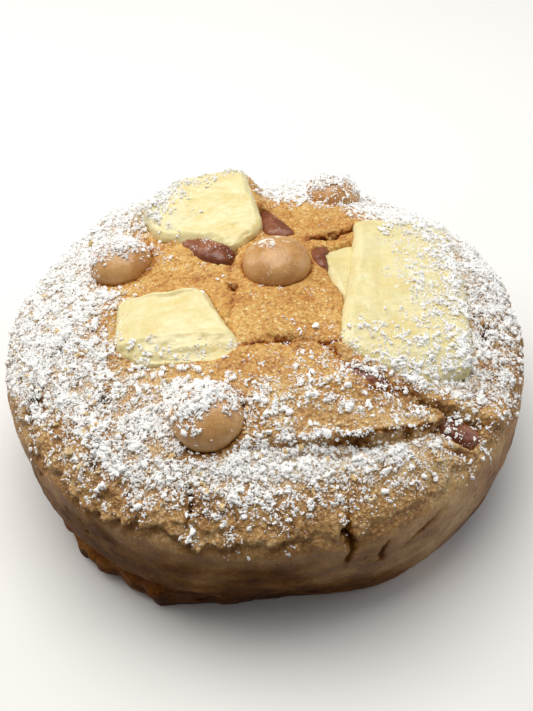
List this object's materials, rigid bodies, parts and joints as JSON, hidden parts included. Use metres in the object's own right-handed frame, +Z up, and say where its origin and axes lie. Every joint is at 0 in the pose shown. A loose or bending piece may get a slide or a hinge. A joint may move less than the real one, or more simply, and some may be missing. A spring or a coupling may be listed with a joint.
{
  "type": "lemon cookie",
  "caption": "Thick round lemon cookie, domed and baked in a ring, with white chocolate slabs, caramel drops and milk chocolate chunks set in its top.",
  "frame": {"origin": "middle of the flat base, on the surface that the cookie rests on", "axes": "+Z up through the dome; -Y to the front, the side that shows best in the picture; +X to the right"},
  "size_m": [0.0961, 0.096, 0.0415],
  "materials": {
    "baked_dough": "baked lemon cookie crust: golden top, browner side and base, matte and crumbly",
    "white_chocolate": "white chocolate, softened by baking, satin",
    "caramel_chocolate": "caramel chocolate drop, satin with soft highlights",
    "milk_chocolate": "milk chocolate, dulled by baking",
    "icing_sugar": "sifted icing sugar in soft matte clumps"
  },
  "bodies": {
    "root": {"cookie_dough": "baked_dough", "white_slab_back": "white_chocolate", "white_slab_left": "white_chocolate", "white_slab_right_upper": "white_chocolate", "white_slab_right_lower": "white_chocolate", "caramel_drop_centre": "caramel_chocolate", "caramel_drop_left": "caramel_chocolate", "caramel_drop_back": "caramel_chocolate", "caramel_drop_front": "caramel_chocolate", "milk_chunk_back_left": "milk_chocolate", "milk_chunk_back": "milk_chocolate", "milk_chunk_centre": "milk_chocolate", "milk_chunk_front": "milk_chocolate", "milk_chunk_front_right": "milk_chocolate"}
  },
  "joints": []
}
